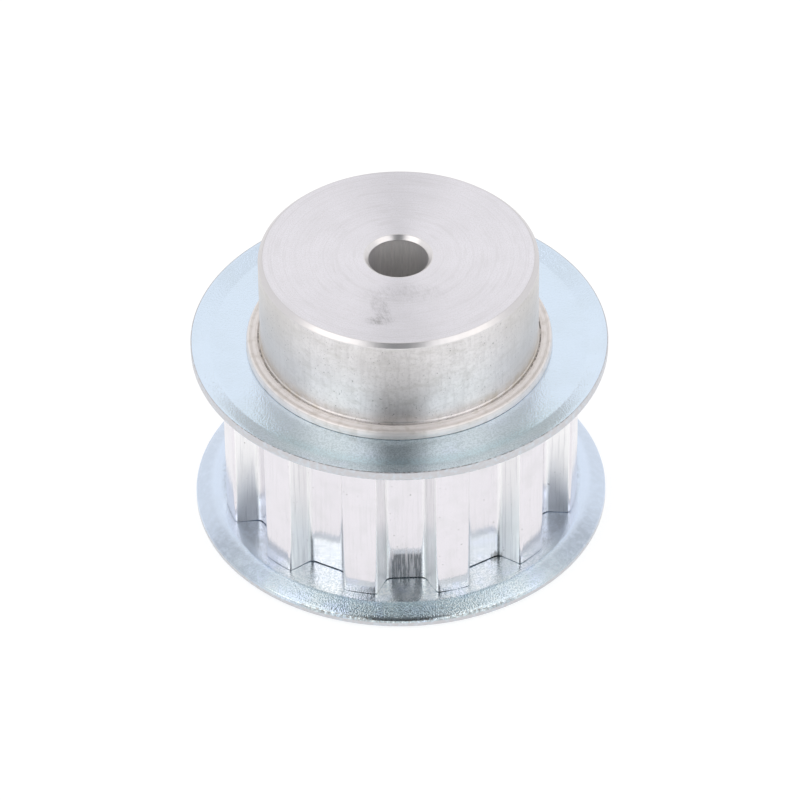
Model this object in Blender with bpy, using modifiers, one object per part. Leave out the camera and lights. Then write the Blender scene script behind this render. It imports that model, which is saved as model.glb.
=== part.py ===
"""Metric T10 timing belt pulley with 12 teeth, two flanges and a hub, with a pilot bore.

Units are metres. +Z runs along the bore, from the open side to the hub.
The origin is on the bore's axis, in the plane of the open side's end face.
The toothed body is one turned and gear-cut piece of aluminium. Each flange is a pressed
sheet ring that sits on a shoulder of the body, held there by a lip rolled over it.
"""

import math

import bmesh
import bpy

MM = 0.001

# Metric T10 toothing.
TOOTH_COUNT = 12
TOOTH_PITCH = 10.0 * MM
TIP_ALLOWANCE = 1.85 * MM
GAP_DEPTH = 2.6 * MM
GAP_WIDTH = 6.02 * MM
FLANK_ANGLE = math.radians(25.0)
ROOT_FILLET = 0.5 * MM

# Widths along the bore.
OVERALL_WIDTH = 31.0 * MM
TOOTHED_WIDTH = 21.0 * MM
LIP_HEIGHT = 0.93 * MM

# Flanges.
FLANGE_DIAMETER = 42.0 * MM
FLANGE_THICKNESS = 1.0 * MM
FLANGE_BEND_DIAMETER = 38.0 * MM
FLANGE_RIM_RISE = 0.62 * MM

# Turned body.
HUB_DIAMETER = 28.0 * MM
HUB_CHAMFER = 0.4 * MM
HUB_BASE_STEP = 0.2 * MM
BORE_DIAMETER = 6.0 * MM
BORE_CHAMFER = 0.4 * MM
SHOULDER_DIAMETER = 30.0 * MM
LIP_DIAMETER = 30.8 * MM
LIP_CHAMFER = 0.15 * MM

# Clearance between the faces of touching pieces.
SEAT_CLEARANCE = 0.25 * MM

# Smoothness of the round shapes.
TURNED_STEPS = 72
FILLET_STEPS = 4
SHARP_ANGLE = math.radians(30.0)
MERGE_DISTANCE = 0.001 * MM
CUTTER_OVERRUN = 1.0 * MM

# Radii that follow from the driving dimensions.
TIP_RADIUS = (TOOTH_COUNT * TOOTH_PITCH / math.pi - TIP_ALLOWANCE) / 2
ROOT_RADIUS = TIP_RADIUS - GAP_DEPTH


def clear_scene():
    """Remove whatever the scene holds, so that the file contains only the pulley."""
    for leftover in list(bpy.data.objects):
        bpy.data.objects.remove(leftover, do_unlink=True)


def new_collection(name):
    collection = bpy.data.collections.new(name)
    bpy.context.scene.collection.children.link(collection)
    return collection


def metal(name, colour, roughness):
    material = bpy.data.materials.new(name)
    material.use_nodes = True
    shader = material.node_tree.nodes["Principled BSDF"]
    shader.inputs["Base Color"].default_value = (*colour, 1.0)
    shader.inputs["Metallic"].default_value = 1.0
    shader.inputs["Roughness"].default_value = roughness
    return material


def shade(mesh):
    """Shade the round faces smooth and keep the turned corners sharp."""
    mesh.shade_smooth()
    mesh.set_sharp_from_angle(angle=SHARP_ANGLE)


def turned(name, outline, material, collection):
    """Turn a closed outline of (radius, height) points round the bore's axis.

    The outline runs down its outer side, from top to bottom.
    """
    profile = bpy.data.meshes.new(name + "_outline")
    points = [(radius, 0.0, height) for radius, height in outline]
    edges = [(i, (i + 1) % len(points)) for i in range(len(points))]
    profile.from_pydata(points, edges, [])
    obj = bpy.data.objects.new(name, profile)
    collection.objects.link(obj)

    lathe = obj.modifiers.new("lathe", "SCREW")
    lathe.axis = "Z"
    lathe.angle = 2 * math.pi
    lathe.steps = TURNED_STEPS
    lathe.render_steps = TURNED_STEPS
    lathe.use_merge_vertices = True
    lathe.merge_threshold = MERGE_DISTANCE

    evaluated = obj.evaluated_get(bpy.context.evaluated_depsgraph_get())
    solid = bpy.data.meshes.new_from_object(evaluated)
    solid.name = name
    obj.modifiers.clear()
    obj.data = solid
    bpy.data.meshes.remove(profile)
    solid.materials.append(material)
    shade(solid)
    return obj


def arc(centre, radius, start, end, steps):
    """Points of an arc about a centre, from the start angle to the end angle."""
    points = []
    for step in range(steps + 1):
        angle = start + (end - start) * step / steps
        points.append((centre[0] + radius * math.cos(angle), centre[1] + radius * math.sin(angle)))
    return points


def gap_outline():
    """Outline of one tooth gap: (along the rim, out from the axis) points, anticlockwise.

    The flanks meet the tip circle GAP_WIDTH apart and close in towards a flat floor, with a
    fillet in each corner. Past the tip circle the outline carries on, so that it cuts clear.
    """
    half_mouth = GAP_WIDTH / 2
    mouth_height = math.sqrt(TIP_RADIUS**2 - half_mouth**2)
    slope = math.tan(FLANK_ANGLE)
    half_floor = half_mouth - (mouth_height - ROOT_RADIUS) * slope
    corner_angle = math.pi / 2 - FLANK_ANGLE
    fillet_reach = ROOT_FILLET * math.tan(corner_angle / 2)

    centre = (half_floor - fillet_reach, ROOT_RADIUS + ROOT_FILLET)
    floor_to_flank = arc(centre, ROOT_FILLET, -math.pi / 2, -FLANK_ANGLE, FILLET_STEPS)
    outer_height = TIP_RADIUS + CUTTER_OVERRUN
    outer_half = half_mouth + (outer_height - mouth_height) * slope
    right_side = floor_to_flank + [(outer_half, outer_height)]
    left_side = [(-x, y) for x, y in reversed(right_side)]
    return right_side + left_side


def gap_cutters(collection):
    """One cutter for each tooth gap. The first gap faces -Y."""
    mesh = bpy.data.meshes.new("tooth_gap")
    shape = bmesh.new()
    base = -CUTTER_OVERRUN
    length = TOOTHED_WIDTH + 2 * CUTTER_OVERRUN
    outline = [shape.verts.new((x, -y, base)) for x, y in gap_outline()]
    floor = shape.faces.new(outline)
    extruded = bmesh.ops.extrude_face_region(shape, geom=[floor])
    top = [item for item in extruded["geom"] if isinstance(item, bmesh.types.BMVert)]
    bmesh.ops.translate(shape, verts=top, vec=(0.0, 0.0, length))
    bmesh.ops.recalc_face_normals(shape, faces=shape.faces)
    shape.to_mesh(mesh)
    shape.free()
    shade(mesh)

    for index in range(TOOTH_COUNT):
        cutter = bpy.data.objects.new(f"tooth_gap_{index + 1:02d}", mesh)
        cutter.rotation_euler.z = index * 2 * math.pi / TOOTH_COUNT
        cutter.display_type = "WIRE"
        cutter.hide_render = True
        collection.objects.link(cutter)


def half_seat():
    """Outline of one end's seat, from the toothed face out to the end face.

    Given as (radius, distance from the end face): the shoulder carries the flange and the
    lip overhangs the flange's inner edge.
    """
    shoulder = SHOULDER_DIAMETER / 2
    lip = LIP_DIAMETER / 2
    lip_face = LIP_HEIGHT - SEAT_CLEARANCE
    toothed_face = LIP_HEIGHT + FLANGE_THICKNESS + SEAT_CLEARANCE
    return [
        (TIP_RADIUS, toothed_face),
        (shoulder, toothed_face),
        (shoulder, lip_face),
        (lip, lip_face),
        (lip, LIP_CHAMFER),
        (lip - LIP_CHAMFER, 0.0),
    ]


def pulley_body(material, collection, cutters):
    """Toothed body with its hub, flange seats, lips and bore, turned and then gear cut."""
    hub = HUB_DIAMETER / 2
    bore = BORE_DIAMETER / 2
    bore_mouth = bore + BORE_CHAMFER
    outline = [
        (bore_mouth, OVERALL_WIDTH),
        (hub - HUB_CHAMFER, OVERALL_WIDTH),
        (hub, OVERALL_WIDTH - HUB_CHAMFER),
        (hub, TOOTHED_WIDTH + HUB_BASE_STEP),
        (hub + HUB_BASE_STEP, TOOTHED_WIDTH),
    ]
    outline += [(radius, TOOTHED_WIDTH - depth) for radius, depth in reversed(half_seat())]
    outline += half_seat()
    outline += [
        (bore_mouth, 0.0),
        (bore, BORE_CHAMFER),
        (bore, OVERALL_WIDTH - BORE_CHAMFER),
    ]
    body = turned("pulley_body", outline, material, collection)
    gear_cut = body.modifiers.new("gear_cut", "BOOLEAN")
    gear_cut.operation = "DIFFERENCE"
    gear_cut.solver = "EXACT"
    gear_cut.operand_type = "COLLECTION"
    gear_cut.collection = cutters
    return body


def flange_outline():
    """Section of a flange as (radius, height above its belt side), down its outer side.

    The ring is flat from its hole to the bend, and its rim leans away from the belt.
    """
    hole = SHOULDER_DIAMETER / 2 + SEAT_CLEARANCE
    rim = FLANGE_DIAMETER / 2
    bend = FLANGE_BEND_DIAMETER / 2
    return [
        (hole, FLANGE_THICKNESS),
        (bend, FLANGE_THICKNESS),
        (rim, FLANGE_THICKNESS + FLANGE_RIM_RISE),
        (rim, FLANGE_RIM_RISE),
        (bend, 0.0),
        (hole, 0.0),
    ]


def flange(name, hub_side, material, collection):
    """One flange on its seat: both are the same pressing, and face away from the belt."""
    belt_face = LIP_HEIGHT + FLANGE_THICKNESS
    if hub_side:
        outline = [(radius, TOOTHED_WIDTH - belt_face + z) for radius, z in flange_outline()]
    else:
        outline = [(radius, belt_face - z) for radius, z in reversed(flange_outline())]
    return turned(name, outline, material, collection)


def build():
    clear_scene()
    parts = new_collection("timing_belt_pulley")
    cutters = new_collection("cutters")
    gap_cutters(cutters)

    aluminium = metal("machined_aluminium", (0.80, 0.79, 0.80), 0.28)
    zinc = metal("zinc_plated_steel", (0.66, 0.73, 0.79), 0.32)

    axis = bpy.data.objects.new("bore_axis", None)
    parts.objects.link(axis)
    pieces = [
        pulley_body(aluminium, parts, cutters),
        flange("hub_side_flange", True, zinc, parts),
        flange("open_side_flange", False, zinc, parts),
    ]
    for piece in pieces:
        piece.parent = axis


build()
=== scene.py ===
"""Visual model of a flanged timing belt pulley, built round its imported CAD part."""

import math

import bpy
import numpy as np
from mathutils import Matrix, Vector


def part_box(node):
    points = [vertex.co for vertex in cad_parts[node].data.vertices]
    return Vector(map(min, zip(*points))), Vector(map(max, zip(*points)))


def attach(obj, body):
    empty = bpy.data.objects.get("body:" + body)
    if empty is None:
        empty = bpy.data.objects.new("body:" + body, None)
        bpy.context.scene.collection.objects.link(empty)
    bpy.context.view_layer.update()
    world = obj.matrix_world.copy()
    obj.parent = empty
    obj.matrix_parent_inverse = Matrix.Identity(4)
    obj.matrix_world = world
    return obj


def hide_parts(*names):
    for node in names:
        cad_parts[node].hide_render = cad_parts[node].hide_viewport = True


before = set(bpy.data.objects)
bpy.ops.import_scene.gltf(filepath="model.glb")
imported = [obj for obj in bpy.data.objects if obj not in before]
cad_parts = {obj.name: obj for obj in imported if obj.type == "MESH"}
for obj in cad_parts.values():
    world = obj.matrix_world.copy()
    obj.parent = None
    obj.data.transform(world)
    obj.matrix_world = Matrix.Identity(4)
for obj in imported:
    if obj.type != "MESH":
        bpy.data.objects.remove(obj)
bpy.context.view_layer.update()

MM = 0.001
TAU = 2 * math.pi

# Sizes from the frame, in millimetres.
OVERALL_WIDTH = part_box("pulley_body")[1][2] / MM
RIM_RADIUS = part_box("hub_side_flange")[1][0] / MM

# Toothing, metric T10, in millimetres.
TOOTH_COUNT = 12
TOOTH_PITCH = 10.0
TIP_ALLOWANCE = 1.85
TIP_RADIUS = (TOOTH_COUNT * TOOTH_PITCH / math.pi - TIP_ALLOWANCE) / 2
GAP_DEPTH = 2.6
GAP_WIDTH = 6.02
ROOT_RADIUS = TIP_RADIUS - GAP_DEPTH
FLANK_ANGLE = math.radians(25)
ROOT_FILLET = 0.78
TIP_ROUND = 0.4
TOOTH_END_ROUND = 0.04

# Turned sizes, in millimetres.
TOOTHED_WIDTH = 21.0
SHOULDER = 15.0
LIP_RADIUS = 15.4
LIP_HEIGHT = 0.93
HUB_RADIUS = 14.0
HUB_CHAMFER = 0.4
CHAMFER_ROUND = 0.06
FACE_STEP_RADIUS = 6.0
FACE_STEP_WIDTH = 0.3
FACE_STEP_DEPTH = 0.012
BORE_RADIUS = 3.0
MOUTH_RADIUS = BORE_RADIUS + 0.38
MOUTH_DEPTH = 0.4

# Pressed sizes, in millimetres.
SHEET = 1.0
BEND_RADIUS = 19.05
RIM_EDGE_ROUND = 0.08
RIM_STEPS = 360

# Gaps between the body and a flange, in millimetres: at its seat, at the floors of the tooth
# gaps and at the lands of the teeth, and how far the last two waver on the open side.
FIT = 0.03
FLOOR_GAP = 0.11
LAND_GAP = 0.03
GAP_WAVER = 0.012
WAVER_SEED = 5
WAVER_TURNS = (9, 40)

# Over this much of a tooth's flank, in millimetres, the gap narrows from the one to the other.
GAP_NARROWS_OVER = 1.2

# Heights of the hub side flange's belt face and of the teeth below it, in millimetres.
BELT_FACE = TOOTHED_WIDTH - LIP_HEIGHT - SHEET
TEETH_TOP = BELT_FACE - FLOOR_GAP

# Longest stretches of the outlines between two points, in millimetres.
TOOTH_STRETCH = 0.35
TURNED_STRETCH = 1.0
SHEET_STRETCH = 0.6

# Each piece's materials, by their index on its mesh.
FACED, TURNED, ROLLED_LIP, HOBBED, BORED, CHAMFER = range(6)
OUTER_SIDE, CUT_RIM, BELT_SIDE = range(3)


# ---------------------------------------------------------------- outlines


def rounded(corners, steps=5):
    """A polyline through (x, y, fillet radius) corners, with each fillet as an arc."""
    points = []
    last = len(corners) - 1
    for i, (x, y, fillet) in enumerate(corners):
        here = Vector((x, y))
        if fillet == 0 or i in (0, last):
            points.append(here)
            continue
        before = (Vector(corners[i - 1][:2]) - here).normalized()
        after = (Vector(corners[i + 1][:2]) - here).normalized()
        half = before.angle(after) / 2
        reach = fillet / math.tan(half)
        centre = here + (before + after).normalized() * (fillet / math.sin(half))
        start = here + before * reach - centre
        sweep = start.angle_signed(here + after * reach - centre)
        for step in range(steps + 1):
            turn = Matrix.Rotation(-sweep * step / steps, 2)
            points.append(centre + turn @ start)
    return points


def subdivided(points, longest):
    """The same polyline with no stretch longer than a given length."""
    result = [points[0]]
    for a, b in zip(points, points[1:]):
        pieces = max(1, math.ceil((b - a).length / longest))
        result += [a.lerp(b, step / pieces) for step in range(1, pieces + 1)]
    return result


# Points on half a tooth's land, and how many of them its rounded corner takes up.
LAND_POINTS = 8
CORNER_POINTS = 2


def tooth_columns():
    """Angles round the rim, and the toothed outline's radius at each of them.

    One pitch runs from the middle of a gap, up its flank and over half a tooth, and is
    then mirrored. The first gap faces -Y.
    """
    half_mouth = GAP_WIDTH / 2
    mouth = math.sqrt(TIP_RADIUS**2 - half_mouth**2)
    half_floor = half_mouth - (mouth - ROOT_RADIUS) * math.tan(FLANK_ANGLE)
    half_pitch = math.pi / TOOTH_COUNT
    land = [
        Vector((math.sin(angle), math.cos(angle))) * TIP_RADIUS
        for angle in np.linspace(math.asin(half_mouth / TIP_RADIUS), half_pitch, LAND_POINTS)
    ]
    corners = [(0, ROOT_RADIUS, 0), (half_floor, ROOT_RADIUS, ROOT_FILLET)]
    corners += [(half_mouth, mouth, TIP_ROUND), (*land[CORNER_POINTS], 0)]
    half = subdivided(rounded(corners), TOOTH_STRETCH) + land[CORNER_POINTS + 1 :]
    polar = [(math.atan2(p.x, p.y), p.length) for p in half]
    mirrored = [(2 * half_pitch - angle, radius) for angle, radius in polar[-2:0:-1]]
    pitch = polar + mirrored
    angles = [a + k * 2 * half_pitch for k in range(TOOTH_COUNT) for a, _ in pitch]
    radii = [radius for _, radius in pitch] * TOOTH_COUNT
    return np.array(angles) - math.pi / 2, np.array(radii)


# ---------------------------------------------------------------- meshes


def ring_mesh(name, bands):
    """A closed surface through rings of points, each joined to the next and the last to the first.

    The bands are (material index, rings) pairs. The faces below a ring take its material.
    """
    rings = np.array([ring for _, band in bands for ring in band])
    slots = np.array([slot for slot, band in bands for _ in band])
    rows, columns, _ = rings.shape
    here = np.arange(rows * columns).reshape(rows, columns)
    right = np.roll(here, -1, axis=1)
    below, below_right = np.roll(here, -1, axis=0), np.roll(right, -1, axis=0)
    faces = np.stack([here, below, below_right, right], axis=-1).reshape(-1, 4)
    mesh = bpy.data.meshes.new(name)
    mesh.from_pydata((rings.reshape(-1, 3) * MM).tolist(), [], faces.tolist())
    mesh.polygons.foreach_set("material_index", np.repeat(slots, columns))
    mesh.shade_smooth()
    return mesh


def circle(angles, radii, heights):
    """Points at these angles, with radii and heights that are one number or one for each."""
    radii = np.broadcast_to(radii, angles.shape)
    heights = np.broadcast_to(heights, angles.shape)
    return np.stack([radii * np.cos(angles), radii * np.sin(angles), heights], axis=-1)


def waves(angles, amplitude, seed, lowest, highest):
    """Unevenness round the axis, from sine waves with these numbers of turns."""
    random = np.random.default_rng(seed)
    total = np.zeros_like(angles)
    for turns in range(lowest, highest + 1):
        total += random.normal() * np.sin(turns * angles + random.uniform(0, TAU))
    return amplitude * total / math.sqrt((highest - lowest + 1) / 2)


def add_piece(name, mesh, materials, node):
    """One visible piece, in place of a node of the CAD and with its material slot."""
    for material in materials:
        mesh.materials.append(material)
    obj = bpy.data.objects.new(name, mesh)
    bpy.context.scene.collection.objects.link(obj)
    normals = obj.modifiers.new("flat_faces_stay_flat", "WEIGHTED_NORMAL")
    normals.weight = 100
    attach(obj, "root")
    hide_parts(node)
    return obj


def turned_band(angles, corners):
    """Rings of a turned surface through (radius, height, fillet) corners."""
    points = subdivided(rounded(corners), TURNED_STRETCH)
    return [circle(angles, point.x, point.y) for point in points]


def teeth_band(angles, outline):
    """Rings of the toothed surface, rounded at both ends, close to the flanges."""
    flank = [ROOT_RADIUS, ROOT_RADIUS + GAP_NARROWS_OVER]
    gap = np.interp(outline, flank, [FLOOR_GAP, LAND_GAP])
    gap += waves(angles, GAP_WAVER, WAVER_SEED, *WAVER_TURNS)
    teeth_low = LIP_HEIGHT + SHEET + gap
    slant = 0.3 * TOOTH_END_ROUND
    end_round = [(TOOTH_END_ROUND, 0), (slant, slant), (0, TOOTH_END_ROUND)]
    upper = [circle(angles, outline - inset, TEETH_TOP - off) for inset, off in end_round]
    lower = [circle(angles, outline - inset, teeth_low + off) for inset, off in end_round[::-1]]
    return upper + lower


def body_mesh():
    """The turned and gear-cut body: hub, rolled lips, shoulders, teeth and bore in one skin."""
    angles, outline = tooth_columns()
    top = OVERALL_WIDTH
    upper = TOOTHED_WIDTH
    sunk = top - FACE_STEP_DEPTH
    lip_face = upper - LIP_HEIGHT + FIT

    face = [(MOUTH_RADIUS + 0.1, top, 0), (FACE_STEP_RADIUS, top, 0)]
    face += [(FACE_STEP_RADIUS + FACE_STEP_WIDTH, sunk, 0), (HUB_RADIUS - 0.5, sunk, 0)]
    chamfer = [(HUB_RADIUS - 0.48, sunk, 0), (HUB_RADIUS - HUB_CHAMFER, sunk, CHAMFER_ROUND)]
    chamfer += [(HUB_RADIUS, top - HUB_CHAMFER, CHAMFER_ROUND), (HUB_RADIUS, top - 0.48, 0)]
    hub = [(HUB_RADIUS, top - 0.5, 0), (HUB_RADIUS, upper + 0.22, 0.1)]
    hub += [(HUB_RADIUS + 0.1, upper + 0.14, 0.04), (HUB_RADIUS + 0.12, upper - 0.04, 0)]
    crease_and_ridges = [
        (HUB_RADIUS + 0.14, upper - 0.12, 0),
        (HUB_RADIUS + 0.24, upper - 0.12, 0),
        (HUB_RADIUS + 0.26, upper, 0.03),
        (HUB_RADIUS + 0.42, upper, 0.04),
        (HUB_RADIUS + 0.5, upper - 0.03, 0),
        (HUB_RADIUS + 0.78, upper - 0.05, 0),
        (HUB_RADIUS + 0.84, upper - 0.08, 0),
        (HUB_RADIUS + 0.9, upper - 0.05, 0),
    ]
    rolled_edge = [
        (LIP_RADIUS - 0.14, upper - 0.07, 0.12),
        (LIP_RADIUS, upper - 0.5 * LIP_HEIGHT, 0.3),
        (LIP_RADIUS, lip_face, 0.04),
        (SHOULDER, lip_face, 0),
        (SHOULDER, TEETH_TOP, 0),
    ]
    low_lip = [(radius, upper - height, fillet) for radius, height, fillet in rolled_edge[:0:-1]]
    low_lip += [(LIP_RADIUS - 0.2, 0, 0)]
    low_face = [(LIP_RADIUS - 0.3, 0, 0), (MOUTH_RADIUS + 0.1, 0, 0)]
    low_mouth = [(MOUTH_RADIUS + 0.08, 0, 0), (MOUTH_RADIUS, 0, 0.1)]
    low_mouth += [(BORE_RADIUS, MOUTH_DEPTH, 0.05), (BORE_RADIUS, 0.5, 0)]
    bore = [(BORE_RADIUS, 0.55, 0), (BORE_RADIUS, top - 0.55, 0)]
    top_mouth = [(radius, top - height, fillet) for radius, height, fillet in low_mouth[::-1]]
    return ring_mesh(
        "pulley_body_skin",
        [
            (FACED, turned_band(angles, face)),
            (CHAMFER, turned_band(angles, chamfer)),
            (TURNED, turned_band(angles, hub)),
            (ROLLED_LIP, turned_band(angles, crease_and_ridges + rolled_edge)),
            (HOBBED, teeth_band(angles, outline)),
            (ROLLED_LIP, turned_band(angles, low_lip)),
            (FACED, turned_band(angles, low_face)),
            (CHAMFER, turned_band(angles, low_mouth)),
            (BORED, turned_band(angles, bore)),
            (CHAMFER, turned_band(angles, top_mouth)),
        ],
    )


def flange_mesh(name, hub_side):
    """A pressed ring, flat to its bend, with a rim that leans away from the belt.

    The open side's rim leans out a little more steeply than the hub side's, and its belt
    side is rounder at the edge.
    """
    angles = np.linspace(0, TAU, RIM_STEPS, endpoint=False)
    hole = SHOULDER + FIT
    belt_rise, outer_rise = (0.64, 1.58) if hub_side else (0.86, 1.68)
    belt_round = 0.06 if hub_side else 0.32
    outer_side = [(hole + 0.2, SHEET, 0), (BEND_RADIUS, SHEET, 0.9)]
    outer_side += [(RIM_RADIUS - 0.14, outer_rise - 0.04, 0)]
    rim = [(RIM_RADIUS - 0.12, outer_rise - 0.04, 0)]
    rim += [(RIM_RADIUS, outer_rise - 0.02, RIM_EDGE_ROUND)]
    rim += [(RIM_RADIUS, belt_rise + belt_round + 0.02, 0)]
    belt_side = [(RIM_RADIUS, belt_rise + belt_round, 0), (RIM_RADIUS, belt_rise, belt_round)]
    belt_side += [(BEND_RADIUS + 0.1, 0, 1.0), (hole, 0, 0.05)]
    belt_side += [(hole, SHEET, 0.05), (hole + 0.15, SHEET, 0)]
    bands = []
    for slot, corners in ((OUTER_SIDE, outer_side), (CUT_RIM, rim), (BELT_SIDE, belt_side)):
        points = subdivided(rounded(corners), SHEET_STRETCH)
        rings = [circle(angles, point.x, BELT_FACE + point.y) for point in points]
        bands.append((slot, rings))
    if not hub_side:
        flip = np.array([1, -1, -1])
        shift = np.array([0, 0, TOOTHED_WIDTH])
        bands = [(slot, [ring * flip + shift for ring in rings]) for slot, rings in bands]
    return ring_mesh(name, bands)


# ---------------------------------------------------------------- shader helpers

# A mix node's sockets for colours.
MIX_FACTOR, MIX_FIRST, MIX_SECOND = 0, 6, 7
MIX_RESULT = 2


def add_node(tree, kind, inputs=None, **settings):
    """A node with its settings, and inputs that are values or other nodes' outputs."""
    node = tree.nodes.new(kind)
    for name, value in settings.items():
        setattr(node, name, value)
    for name, value in (inputs or {}).items():
        if isinstance(value, bpy.types.NodeSocket):
            tree.links.new(value, node.inputs[name])
        else:
            node.inputs[name].default_value = value
    return node


def calc(tree, operation, *values):
    inputs = dict(enumerate(values))
    return add_node(tree, "ShaderNodeMath", inputs, operation=operation).outputs[0]


def product(tree, *factors):
    total = factors[0]
    for factor in factors[1:]:
        total = calc(tree, "MULTIPLY", total, factor)
    return total


def ramp(tree, value, low, high, to_low=0.0, to_high=1.0):
    """The value carried smoothly from low..high to to_low..to_high."""
    inputs = {"Value": value, "From Min": low, "From Max": high}
    inputs.update({"To Min": to_low, "To Max": to_high})
    node = add_node(tree, "ShaderNodeMapRange", inputs, interpolation_type="SMOOTHSTEP")
    return node.outputs["Result"]


def vector(tree, x, y, z):
    return add_node(tree, "ShaderNodeCombineXYZ", {0: x, 1: y, 2: z}).outputs[0]


def noise(tree, place, scale, detail=2.0, roughness=0.5):
    """Noise whose largest features are about 1 / scale across, in the place's units."""
    inputs = {"Vector": place, "Scale": scale, "Detail": detail, "Roughness": roughness}
    return add_node(tree, "ShaderNodeTexNoise", inputs).outputs["Fac"]


def coordinates(tree):
    """Place on the pulley in millimetres: x, y, z and the radius from the axis."""
    local = add_node(tree, "ShaderNodeTexCoord").outputs["Object"]
    in_mm = add_node(tree, "ShaderNodeVectorMath", {0: local, "Scale": 1 / MM}, operation="SCALE")
    split = add_node(tree, "ShaderNodeSeparateXYZ", {0: in_mm.outputs[0]})
    x, y, z = split.outputs
    squares = calc(tree, "ADD", product(tree, x, x), product(tree, y, y))
    return x, y, z, calc(tree, "SQRT", squares)


def blend(tree, factor, first, second):
    """The first colour, turned into the second as the factor goes from 0 to 1."""
    inputs = {MIX_FACTOR: factor, MIX_FIRST: first, MIX_SECOND: second}
    return add_node(tree, "ShaderNodeMix", inputs, data_type="RGBA").outputs[MIX_RESULT]


def tinted(tree, colour, tint, mask, low, high, most=1.0):
    """A colour turned towards a tint, by at most this much, as a mask goes from low to high."""
    return blend(tree, ramp(tree, mask, low, high, 0.0, most), colour, tint)


def bump(tree, height, depth, after=None):
    """Relief of that depth in millimetres, on top of an earlier relief."""
    inputs = {"Height": height, "Distance": depth * MM, "Strength": 1.0}
    if after is not None:
        inputs["Normal"] = after
    return add_node(tree, "ShaderNodeBump", inputs).outputs["Normal"]


def ring_line(tree, radius, middle, half_width):
    """1 along a circle round the axis, falling to 0 on both sides."""
    off = calc(tree, "ABSOLUTE", calc(tree, "SUBTRACT", radius, middle))
    return ramp(tree, off, half_width, 0.0)


def metal(name, anisotropy=0.0, across=False, metallic=1.0):
    """A bare metal, whose scratches run round the axis, or across if so asked."""
    material = bpy.data.materials.new(name)
    material.use_nodes = True
    tree = material.node_tree
    shader = tree.nodes["Principled BSDF"]
    shader.inputs["Metallic"].default_value = metallic
    if anisotropy:
        shader.inputs["Anisotropic"].default_value = anisotropy
        shader.inputs["Anisotropic Rotation"].default_value = 0.0 if across else 0.25
        tangent = add_node(tree, "ShaderNodeTangent", direction_type="RADIAL", axis="Z")
        tree.links.new(tangent.outputs[0], shader.inputs["Tangent"])
    return material, tree, shader


def finish(tree, shader, colour, roughness, normal):
    """Joins a finished colour, roughness and relief to the shader."""
    tree.links.new(colour, shader.inputs["Base Color"])
    tree.links.new(roughness, shader.inputs["Roughness"])
    tree.links.new(normal, shader.inputs["Normal"])


# ---------------------------------------------------------------- aluminium

BRIGHT = (0.88, 0.86, 0.90, 1)
DULL = (0.76, 0.74, 0.76, 1)
CHAMFERED = (0.81, 0.785, 0.785, 1)
CHAMFERED_DULL = (0.78, 0.76, 0.76, 1)
CHAMFER_SIDE_SHADE = (0.68, 0.66, 0.665, 1)
TOOTH_BRIGHT = (0.82, 0.795, 0.835, 1)
TOOTH_DULL = (0.72, 0.71, 0.73, 1)
FLANK_BRIGHT = (0.97, 0.965, 0.97, 1)
SATIN = (0.9, 0.872, 0.868, 1)
SATIN_DULL = (0.65, 0.622, 0.615, 1)
ROLLED = (0.89, 0.845, 0.825, 1)
STAIN = (0.52, 0.47, 0.40, 1)
TAN = (0.58, 0.50, 0.38, 1)
# Colour of real smears on the hub's side, also used as painted shade towards its limbs.
SMEAR_AND_LIMB_SHADE = (0.60, 0.575, 0.54, 1)
DRILLED = (0.99, 0.97, 0.955, 1)
DRILLED_DULL = (0.84, 0.83, 0.82, 1)
BORE_SIDE_SHADE = (0.62, 0.61, 0.62, 1)
# Soot-dark, for pits, specks, scrapes and dirt, and also for painted shade in the lip's crease and
# painted dark reflection along the flanges' rim edges.
SOOT_AND_SHADE = (0.22, 0.21, 0.20, 1)

# A corner of one tooth gap that holds dirt, and how far the dirt reaches, in millimetres.
DIRTY_CORNER = (9.15, -12.6, 2.05)
DIRT_REACH = 0.25

# Heights between which the scraped marks on the gap floors fade out, in millimetres.
SCRAPED_HEIGHT = 4.5
UNSCRAPED_HEIGHT = 6.5


def blob(tree, x, y, middle, reach, lean=0.0):
    """1 about a point of the hub's face, falling to 0 at an ellipse that may lean."""
    slant = calc(tree, "MULTIPLY_ADD", y, lean, x)
    off_x = calc(tree, "SUBTRACT", slant, middle[0] + lean * middle[1])
    off_y = calc(tree, "SUBTRACT", y, middle[1])
    square_x = calc(tree, "POWER", calc(tree, "DIVIDE", off_x, reach[0]), 2.0)
    square_y = calc(tree, "POWER", calc(tree, "DIVIDE", off_y, reach[1]), 2.0)
    return ramp(tree, calc(tree, "ADD", square_x, square_y), 1.0, 0.1)


def scuff(tree, x, y):
    """A small dark scrape on the hub's face in front of the bore, and its faint smear."""
    scrape = product(tree, blob(tree, x, y, (-2.0, -8.3), (1.1, 3.0), 0.2), 0.65)
    foot = blob(tree, x, y, (-2.2, -10.0), (1.7, 0.9))
    smear = product(tree, blob(tree, x, y, (0.2, -5.9), (5.5, 1.8)), 0.3)
    slanted_x = calc(tree, "MULTIPLY_ADD", y, 0.3, x)
    strokes = noise(tree, vector(tree, slanted_x, product(tree, y, 0.35), 0.0), 3.2, 5.0, 0.8)
    inside = calc(tree, "MAXIMUM", calc(tree, "MAXIMUM", scrape, foot), smear)
    return product(tree, inside, ramp(tree, strokes, 0.42, 0.66, 0.1, 0.6))


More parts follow.
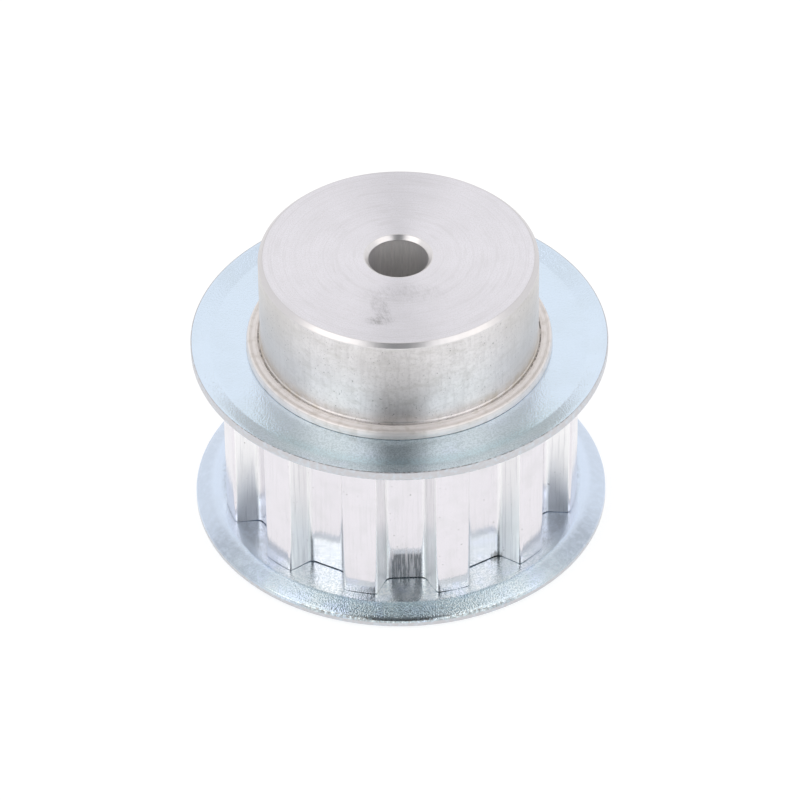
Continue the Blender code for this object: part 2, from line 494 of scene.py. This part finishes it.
def faced_aluminium():
    """The faced ends: fine rings and arcs from the lathe tool, faint blotches and a scuff."""
    material, tree, shader = metal("faced_aluminium", anisotropy=0.75)
    x, y, z, radius = coordinates(tree)
    rings = noise(tree, vector(tree, radius, z, 0.0), 5.0, 4.0, 0.7)
    blotches = noise(tree, vector(tree, x, y, 0.0), 0.35, 3.0)
    grain = noise(tree, vector(tree, x, y, z), 9.0, 2.0)
    colour = tinted(tree, BRIGHT, DULL, blotches, 0.35, 0.7, 0.25)
    colour = tinted(tree, colour, DULL, grain, 0.45, 0.65, 0.8)
    colour = tinted(tree, colour, DULL, rings, 0.5, 0.7, 0.6)
    sine = calc(tree, "DIVIDE", y, radius)
    cosine = calc(tree, "DIVIDE", x, radius)
    arcs = noise(tree, vector(tree, cosine, sine, radius), 2.2, 4.0, 0.7)
    colour = tinted(tree, colour, DULL, arcs, 0.5, 0.68, 0.5)
    step = ring_line(tree, radius, FACE_STEP_RADIUS + FACE_STEP_WIDTH / 2, 0.25)
    colour = blend(tree, product(tree, step, 0.35), colour, DULL)
    on_hub = ramp(tree, z, TOOTHED_WIDTH, OVERALL_WIDTH - 1.0)
    colour = blend(tree, product(tree, scuff(tree, x, y), on_hub), colour, SOOT_AND_SHADE)
    rough = ramp(tree, rings, 0.3, 0.7, 0.36, 0.46)
    normal = bump(tree, rings, 0.012, bump(tree, grain, 0.006))
    finish(tree, shader, colour, rough, normal)
    return material


def turned_aluminium():
    """The hub's side: satin, with faint rings, small pits, smears and a stain towards its foot,
    and painted shade that darkens it towards its left and right.
    """
    material, tree, shader = metal("turned_aluminium", anisotropy=0.9)
    x, y, z, radius = coordinates(tree)
    place = vector(tree, x, y, z)
    aside = calc(tree, "ABSOLUTE", x)
    rings = noise(tree, vector(tree, z, radius, 0.0), 4.0, 4.0, 0.7)
    blotches = noise(tree, place, 0.3, 4.0, 0.6)
    streaks = noise(tree, vector(tree, x, y, product(tree, z, 0.12)), 2.5, 3.0, 0.6)
    mottle = noise(tree, place, 3.0, 4.0, 0.75)
    drawn_out = vector(tree, product(tree, x, 0.4), product(tree, y, 0.4), z)
    smears = noise(tree, drawn_out, 1.3, 4.0, 0.6)
    colour = tinted(tree, SATIN, SATIN_DULL, blotches, 0.35, 0.75, 0.4)
    colour = tinted(tree, colour, SATIN_DULL, streaks, 0.45, 0.7, 0.35)
    # Painted shade: the hub's side darker towards its left and right limbs.
    colour = tinted(tree, colour, SMEAR_AND_LIMB_SHADE, aside, 6.5, 13.0, 0.6)
    colour = tinted(tree, colour, SATIN_DULL, mottle, 0.45, 0.7, 0.6)
    colour = tinted(tree, colour, SMEAR_AND_LIMB_SHADE, smears, 0.48, 0.68, 0.34)

    foot = ramp(tree, z, TOOTHED_WIDTH + 1.4, TOOTHED_WIDTH + 0.3)
    dabs = ramp(tree, noise(tree, place, 1.1, 4.0, 0.6), 0.42, 0.62)
    stained = product(tree, foot, dabs, ramp(tree, aside, 5.0, 11.0, 0.2, 1.0))
    colour = blend(tree, product(tree, stained, 0.45), colour, TAN)
    pits = ramp(tree, noise(tree, place, 4.5, 2.0), 0.65, 0.74)
    pits = product(tree, pits, ramp(tree, blotches, 0.4, 0.55, 0.15, 1.0))
    colour = blend(tree, product(tree, pits, 0.7), colour, SOOT_AND_SHADE)
    rough = ramp(tree, rings, 0.3, 0.7, 0.32, 0.4)
    normal = bump(tree, rings, 0.004, bump(tree, noise(tree, place, 6.0, 2.0), 0.003))
    finish(tree, shader, colour, rough, normal)
    return material


def chamfered_aluminium():
    """The turned chamfers: a little chatter from the tool, and painted shade to either side."""
    material, tree, shader = metal("chamfered_aluminium", anisotropy=0.5)
    x, y, z, radius = coordinates(tree)
    chatter = noise(tree, vector(tree, x, y, 0.0), 1.5, 3.0)
    rings = noise(tree, vector(tree, radius, z, 0.0), 9.0, 2.0)
    colour = tinted(tree, CHAMFERED, CHAMFERED_DULL, chatter, 0.4, 0.6)
    # Painted shade: the chamfer darker towards its left and right.
    colour = tinted(tree, colour, CHAMFER_SIDE_SHADE, calc(tree, "ABSOLUTE", x), 8.0, 11.0)
    rough = ramp(tree, rings, 0.3, 0.7, 0.32, 0.4)
    finish(tree, shader, colour, rough, bump(tree, chatter, 0.01))
    return material


def rolled_aluminium():
    """The lips rolled over the flanges: ridged by the roller, a little stained, and with painted
    shade in the crease at the hub's foot.
    """
    material, tree, shader = metal("rolled_aluminium", anisotropy=0.7, metallic=0.6)
    x, y, z, radius = coordinates(tree)
    place = vector(tree, x, y, z)
    ridges = noise(tree, vector(tree, radius, z, 0.0), 5.0, 3.0, 0.6)
    dabs = noise(tree, place, 1.2, 3.0)
    colour = tinted(tree, ROLLED, STAIN, dabs, 0.45, 0.75, 0.35)
    colour = tinted(tree, colour, STAIN, ridges, 0.5, 0.7, 0.5)
    # Painted shade: a broken dark line in the crease at the hub's foot.
    crease = ring_line(tree, radius, HUB_RADIUS + 0.19, 0.09)
    dashes = ramp(tree, noise(tree, place, 1.8, 3.0), 0.45, 0.58, 0.15, 1.0)
    colour = blend(tree, product(tree, crease, dashes), colour, SOOT_AND_SHADE)
    rough = ramp(tree, radius, HUB_RADIUS + 0.6, LIP_RADIUS - 0.1, 0.5, 0.32)
    normal = bump(tree, ridges, 0.03, bump(tree, dabs, 0.008))
    finish(tree, shader, colour, rough, normal)
    return material


def hobbed_aluminium():
    """The teeth: bright, with fine lines along the axis, brighter flanks and scraped floors."""
    material, tree, shader = metal("hobbed_aluminium", anisotropy=0.7, across=True, metallic=0.9)
    x, y, z, radius = coordinates(tree)
    place = vector(tree, x, y, z)
    stretched = vector(tree, x, y, product(tree, z, 0.03))
    lines = noise(tree, stretched, 4.0, 3.0, 0.7)
    broad = noise(tree, stretched, 1.6, 2.0, 0.5)
    clouds = noise(tree, place, 0.5, 2.0)
    off_land = ramp(tree, radius, TIP_RADIUS - 0.08, TIP_RADIUS - 0.25)
    off_floor = ramp(tree, radius, ROOT_RADIUS + 0.05, ROOT_RADIUS + 0.35)
    flank = product(tree, off_land, off_floor)
    colour = tinted(tree, TOOTH_BRIGHT, TOOTH_DULL, clouds, 0.4, 0.8, 0.5)
    colour = blend(tree, flank, colour, FLANK_BRIGHT)
    marked = calc(tree, "MULTIPLY_ADD", flank, 0.25, 0.3)
    marked = product(tree, marked, ramp(tree, lines, 0.48, 0.66))
    colour = blend(tree, marked, colour, TOOTH_DULL)

    specks = ramp(tree, noise(tree, place, 3.0, 2.0), 0.7, 0.78)
    colour = blend(tree, product(tree, specks, 0.5), colour, SOOT_AND_SHADE)
    ends = {0: place, 1: DIRTY_CORNER}
    off_corner = add_node(tree, "ShaderNodeVectorMath", ends, operation="DISTANCE").outputs["Value"]
    ragged = calc(tree, "MULTIPLY_ADD", lines, -1.2, off_corner)
    colour = tinted(tree, colour, SOOT_AND_SHADE, ragged, DIRT_REACH, -DIRT_REACH, 0.85)

    low = ramp(tree, z, UNSCRAPED_HEIGHT, SCRAPED_HEIGHT)
    in_front = ramp(tree, calc(tree, "ABSOLUTE", x), 6.0, 2.0, 0.25, 1.0)
    low_floor = product(tree, calc(tree, "SUBTRACT", low, off_floor), in_front)
    streaks = ramp(tree, lines, 0.48, 0.6)
    scraped = product(tree, streaks, ramp(tree, low_floor, 0.0, 1.0, 0.04, 0.55))
    rough = calc(tree, "ADD", scraped, 0.1)
    rough = calc(tree, "MULTIPLY_ADD", flank, 0.2, rough)
    normal = bump(tree, lines, 0.018, bump(tree, broad, 0.006))
    finish(tree, shader, colour, rough, normal)
    return material


def drilled_aluminium():
    """The bore: drilled, dull, with painted shade to either side, and streaks along its length."""
    material, tree, shader = metal("drilled_aluminium", metallic=0.75)
    x, y, z, radius = coordinates(tree)
    stretched = vector(tree, x, y, product(tree, z, 0.1))
    streaks = noise(tree, stretched, 2.2, 4.0, 0.7)
    colour = tinted(tree, DRILLED, DRILLED_DULL, streaks, 0.4, 0.62)
    # Painted shade: the bore darker towards its left and right.
    colour = tinted(tree, colour, BORE_SIDE_SHADE, calc(tree, "ABSOLUTE", x), 1.5, 2.9)
    rough = ramp(tree, streaks, 0.3, 0.7, 0.4, 0.6)
    finish(tree, shader, colour, rough, bump(tree, streaks, 0.02))
    return material


# ---------------------------------------------------------------- zinc

ZINC = (0.74, 0.85, 0.97, 1)
ZINC_DULL = (0.70, 0.80, 0.89, 1)
BELT_ZINC = (0.73, 0.825, 0.965, 1)
BELT_ZINC_DULL = (0.69, 0.775, 0.89, 1)
GREENISH = (0.72, 0.84, 0.90, 1)
BEND_REFLECTION_TEAL = (0.58, 0.77, 0.84, 1)
BELT_FRONT = (0.78, 0.85, 0.85, 1)
GRAIN_AND_GLINT_DARK = (0.52, 0.63, 0.68, 1)
WORN_AND_SHADED_ZINC = (0.38, 0.425, 0.49, 1)
CUT_EDGE = (0.595, 0.59, 0.61, 1)


def zinc_wear_and_shade(tree, colour, x, y, radius, place, rim, rim_wear_and_shade):
    """The colour turned grey on the rim, less at the front, and beside the teeth at the sides:
    partly wear and dirt, partly painted shade.
    """
    patches = noise(tree, place, 1.3, 5.0, 0.7)
    # Grey on the rim's band, most at the left and right: wear, with painted shade there.
    worn_and_shaded = product(
        tree,
        rim,
        ramp(tree, y, -17.5, -13.0, 0.1 * rim_wear_and_shade, rim_wear_and_shade),
        ramp(tree, y, -10.0, -4.0, 1.0, 0.35),
        ramp(tree, patches, 0.35, 0.6, 0.75, 1.1),
    )
    colour = blend(tree, worn_and_shaded, colour, WORN_AND_SHADED_ZINC)
    # Grey on the flange beside the teeth at the sides: dirt, with painted shade between the flange
    # and the teeth.
    soiled_and_shaded = product(
        tree,
        ramp(tree, radius, TIP_RADIUS + 0.4, TIP_RADIUS - 0.3, 0.0, 0.8 * rim_wear_and_shade),
        ramp(tree, calc(tree, "ABSOLUTE", x), 9.0, 14.0),
        ramp(tree, patches, 0.35, 0.6, 0.3, 1.0),
    )
    return blend(tree, soiled_and_shaded, colour, WORN_AND_SHADED_ZINC)


def bright_zinc(name, bright, dull, front, bend_reflection, rim_wear_and_shade, rim_grain, painted_edge_line, smooth):
    """Bluish plating on rolled sheet, with a fine sparkling grain. Towards the front, where it
    mirrors the tent's dark opening, it has painted reflection: a dark teal bend, dark speckles
    in the grain for its glints, and a broken dark line along the rim's edge.

    The last five numbers are how strong the painted teal reflection at the bend is, how much
    wear and painted shade the rim has, how much coarser the rim's grain is, how dark the
    painted line along its edge is, and the least roughness.
    """
    material, tree, shader = metal(name)
    x, y, z, radius = coordinates(tree)
    place = vector(tree, x, y, z)
    grain = noise(tree, place, 6.5, 1.0, 0.5)
    clouds = noise(tree, place, 0.25, 3.0)
    rim = ramp(tree, radius, 18.9, 19.8)
    colour = tinted(tree, bright, dull, clouds, 0.4, 0.75, 0.5)
    greener = product(tree, ramp(tree, y, -7.0, -18.0), ramp(tree, clouds, 0.3, 0.55))
    colour = blend(tree, greener, colour, front)
    # Painted reflection: the bend darker and teal towards the front, where it mirrors the dark
    # opening.
    bend = product(tree, ring_line(tree, radius, 18.8, 1.2), ramp(tree, y, -11.0, -17.0))
    colour = blend(tree, product(tree, bend, bend_reflection), colour, BEND_REFLECTION_TEAL)
    colour = zinc_wear_and_shade(tree, colour, x, y, radius, place, rim, rim_wear_and_shade)

    # Painted reflection: a broken dark line along the rim's edge at the front, where the rounded
    # edge mirrors the dark opening.
    burr = ring_line(tree, radius, RIM_RADIUS - 0.08, 0.2)
    dashes = ramp(tree, noise(tree, place, 3.0, 3.0), 0.38, 0.55)
    near = ramp(tree, y, -16.5, -19.0)
    colour = blend(tree, product(tree, burr, dashes, near, painted_edge_line), colour, SOOT_AND_SHADE)
    # Dark speckles of the grain, painted only towards the front: real grain with painted glints.
    speckles = ramp(tree, grain, 0.42, 0.6)
    front_glint_speckles = product(tree, speckles, ramp(tree, y, -8.0, -17.0, 0.04, 0.75))
    colour = blend(tree, front_glint_speckles, colour, GRAIN_AND_GLINT_DARK)
    rough = ramp(tree, clouds, 0.3, 0.7, smooth, smooth + 0.06)
    height = product(tree, grain, calc(tree, "MULTIPLY_ADD", rim, rim_grain, 1.0))
    inside_edge = ramp(tree, radius, RIM_RADIUS - 0.4, RIM_RADIUS - 0.15, 1.0, 0.2)
    height = product(tree, height, inside_edge)
    finish(tree, shader, colour, rough, bump(tree, height, 0.026))
    return material


def cut_zinc():
    """The flange's cut edge: greyer than the sheet, and matt, with painted dark reflection along
    its burr towards the front.
    """
    material, tree, shader = metal("cut_zinc")
    x, y, z, radius = coordinates(tree)
    place = vector(tree, x, y, z)
    nicks = noise(tree, place, 2.0, 3.0)
    colour = tinted(tree, CUT_EDGE, ZINC_DULL, nicks, 0.4, 0.75, 0.5)
    # Painted reflection: a broken dark line along the burr, strongest at the front.
    burr = ring_line(tree, radius, RIM_RADIUS - 0.1, 0.1)
    dashes = ramp(tree, noise(tree, place, 3.0, 3.0), 0.45, 0.55)
    near = ramp(tree, y, -9.0, -15.0, 0.1, 1.0)
    colour = blend(tree, product(tree, burr, near, dashes), colour, SOOT_AND_SHADE)
    rough = ramp(tree, nicks, 0.3, 0.7, 0.35, 0.45)
    finish(tree, shader, colour, rough, bump(tree, nicks, 0.02))
    return material


# ---------------------------------------------------------------- the pulley

aluminium = [
    faced_aluminium(),
    turned_aluminium(),
    rolled_aluminium(),
    hobbed_aluminium(),
    drilled_aluminium(),
    chamfered_aluminium(),
]
outer_zinc = bright_zinc(
    "outer_zinc",
    ZINC,
    ZINC_DULL,
    GREENISH,
    bend_reflection=0.75,
    rim_wear_and_shade=0.0,
    rim_grain=0.3,
    painted_edge_line=0.85,
    smooth=0.08,
)
cut_edge_zinc = cut_zinc()
belt_side_zinc = bright_zinc(
    "belt_side_zinc",
    BELT_ZINC,
    BELT_ZINC_DULL,
    BELT_FRONT,
    bend_reflection=0.0,
    rim_wear_and_shade=0.75,
    rim_grain=0.4,
    painted_edge_line=0.95,
    smooth=0.14,
)
zinc = [outer_zinc, cut_edge_zinc, belt_side_zinc]

add_piece("pulley_body_machined", body_mesh(), aluminium, "pulley_body")
for node, hub_side in (("hub_side_flange", True), ("open_side_flange", False)):
    skin = flange_mesh(node + "_skin", hub_side)
    add_piece(node + "_pressing", skin, zinc, node)


# ---------------------------------------------------------------- camera

# Its distance, the height that it turns round and the height that it looks at are in
# millimetres.
CAMERA_AZIMUTH = math.radians(-1.55)
CAMERA_ELEVATION = math.radians(40.05)
CAMERA_DISTANCE = 581.0
CAMERA_PIVOT = 15.5
CAMERA_AIM = 12.2
CAMERA_ROLL = math.radians(-0.64)
CAMERA_LENS = 258.65
SENSOR_WIDTH = 36
NEAREST_SEEN = 0.01
FARTHEST_SEEN = 20


def heading(azimuth, elevation):
    """The direction of a place seen from the pulley: azimuth 0 is -Y and 90 is +X."""
    flat = math.cos(elevation)
    return Vector((math.sin(azimuth) * flat, -math.cos(azimuth) * flat, math.sin(elevation)))


def add_camera():
    """The photo's camera: a long lens that looks down on the pulley from the front."""
    place = heading(CAMERA_AZIMUTH, CAMERA_ELEVATION) * CAMERA_DISTANCE
    place.z += CAMERA_PIVOT
    aim = (Vector((0, 0, CAMERA_AIM)) - place).normalized()
    camera = bpy.data.objects.new("camera", bpy.data.cameras.new("camera"))
    turn = aim.to_track_quat("-Z", "Y").to_matrix().to_4x4()
    roll = Matrix.Rotation(CAMERA_ROLL, 4, "Z")
    camera.matrix_world = Matrix.Translation(place * MM) @ turn @ roll
    camera.data.lens = CAMERA_LENS
    camera.data.sensor_width = SENSOR_WIDTH
    camera.data.clip_start = NEAREST_SEEN
    camera.data.clip_end = FARTHEST_SEEN
    bpy.context.scene.collection.objects.link(camera)
    bpy.context.scene.camera = camera


# ---------------------------------------------------------------- studio

# The table, with its sizes in millimetres. Its glow brings it up to white.
FLOOR_RADIUS = 4000.0
FLOOR_HEIGHT = -0.02
FLOOR_GREY = (0.3, 0.3, 0.3, 1)
FLOOR_GLOW = 0.785

# The tent's light, by direction.
WALLS = (0.96, 0.96, 0.97, 1)
TOP = (0.8, 0.8, 0.81, 1)
BESIDE_OPENING = (1.45, 1.45, 1.47, 1)
OPENING = (0.15, 0.16, 0.17, 1)
OPENING_AZIMUTH = -3
OPENING_ELEVATION = 50
LEFT_LAMP = (1.2, 1.2, 1.24, 1)
RIGHT_LAMP = (1.12, 1.12, 1.15, 1)
LAMP_ELEVATION = 63

# The two soft lamps, one metre away.
SOFTBOX_COLOUR = (1.0, 0.93, 0.84)
SOFTBOX_SIZE = 0.5
SOFTBOX_ELEVATION = 40


def add_floor():
    """The white table that the pulley stands on."""
    mesh = bpy.data.meshes.new("floor")
    angles = np.linspace(0, TAU, 96, endpoint=False)
    edge = circle(angles, FLOOR_RADIUS, FLOOR_HEIGHT) * MM
    mesh.from_pydata(edge.tolist(), [], [list(range(len(edge)))])
    floor = bpy.data.objects.new("floor", mesh)
    bpy.context.scene.collection.objects.link(floor)
    material = bpy.data.materials.new("white_table")
    material.use_nodes = True
    shader = material.node_tree.nodes["Principled BSDF"]
    shader.inputs["Base Color"].default_value = FLOOR_GREY
    shader.inputs["Roughness"].default_value = 0.9
    shader.inputs["Specular IOR Level"].default_value = 0
    shader.inputs["Emission Color"].default_value = (1, 1, 1, 1)
    shader.inputs["Emission Strength"].default_value = FLOOR_GLOW
    mesh.materials.append(material)


def closeness(tree, place, azimuth, elevation):
    """The cosine of the angle from a direction, given in degrees."""
    aim = heading(math.radians(azimuth), math.radians(elevation))
    node = add_node(tree, "ShaderNodeVectorMath", {0: place, 1: aim}, operation="DOT_PRODUCT")
    return node.outputs["Value"]


def towards(tree, place, azimuth, elevation, full, none):
    """1 within an angle of a direction, falling to 0 at a wider angle, in degrees."""
    near, far = math.cos(math.radians(full)), math.cos(math.radians(none))
    return ramp(tree, closeness(tree, place, azimuth, elevation), far, near)


def front_slot(tree, place, none, full):
    """1 in a tall slot of the tent's front, from the table up past the camera.

    It falls to 0 on both sides, between two distances from the slot's middle plane.
    """
    upright = towards(tree, place, OPENING_AZIMUTH, OPENING_ELEVATION, 42, 60)
    sideways = calc(tree, "ABSOLUTE", closeness(tree, place, OPENING_AZIMUTH + 90, 0))
    return product(tree, upright, ramp(tree, sideways, none, full))


def add_world():
    """A white tent with a dimmer top, a dark opening between brighter walls, and two lamps."""
    world = bpy.data.worlds.new("tent")
    bpy.context.scene.world = world
    world.use_nodes = True
    tree = world.node_tree
    place = add_node(tree, "ShaderNodeTexCoord").outputs["Generated"]
    colour = blend(tree, towards(tree, place, 0, 90, 32, 50), WALLS, TOP)
    colour = blend(tree, front_slot(tree, place, 0.62, 0.4), colour, BESIDE_OPENING)
    colour = blend(tree, front_slot(tree, place, 0.36, 0.2), colour, OPENING)
    for azimuth, lamp in ((-108, LEFT_LAMP), (104, RIGHT_LAMP)):
        spot = towards(tree, place, azimuth, LAMP_ELEVATION, 8, 18)
        colour = blend(tree, spot, colour, lamp)
    tree.links.new(colour, tree.nodes["Background"].inputs["Color"])


def add_softbox(name, azimuth, power):
    """A square lamp that looks at the pulley from one side, with its power in watts."""
    light = bpy.data.lights.new(name, "AREA")
    light.color = SOFTBOX_COLOUR
    light.shape = "SQUARE"
    light.size = SOFTBOX_SIZE
    light.energy = power
    lamp = bpy.data.objects.new(name, light)
    out = heading(math.radians(azimuth), math.radians(SOFTBOX_ELEVATION))
    turn = (-out).to_track_quat("-Z", "Y").to_matrix().to_4x4()
    lamp.matrix_world = Matrix.Translation(out) @ turn
    bpy.context.scene.collection.objects.link(lamp)


add_camera()
add_floor()
add_world()
add_softbox("softbox_left", -62, 0.6)
add_softbox("softbox_right", 62, 0.4)
bpy.context.scene.view_settings.view_transform = "Standard"
